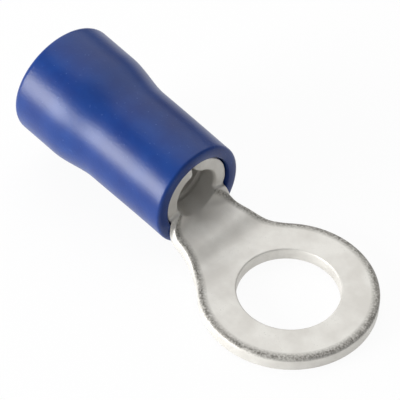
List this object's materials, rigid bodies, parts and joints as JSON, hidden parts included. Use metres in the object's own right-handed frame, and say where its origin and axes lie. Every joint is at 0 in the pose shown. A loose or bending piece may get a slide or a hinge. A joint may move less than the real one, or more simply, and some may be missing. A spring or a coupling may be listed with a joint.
{
  "type": "insulated ring terminal",
  "caption": "Insulated ring terminal: a flat ring tongue with a stud hole, a formed neck and a rolled crimp barrel inside a flared plastic sleeve.",
  "frame": {"origin": "centre of the stud hole, on the underside of the ring", "axes": "+Z along the stud, up from the side that the barrel stands up on; +X from the stud hole towards the wire; +Y across the ring"},
  "size_m": [0.0224, 0.0092, 0.0074],
  "materials": {
    "tinned_copper": "satin tin plating",
    "blue_vinyl": "satin vinyl"
  },
  "bodies": {
    "root": {"terminal_body": "tinned_copper", "insulating_sleeve": "blue_vinyl"}
  },
  "joints": []
}
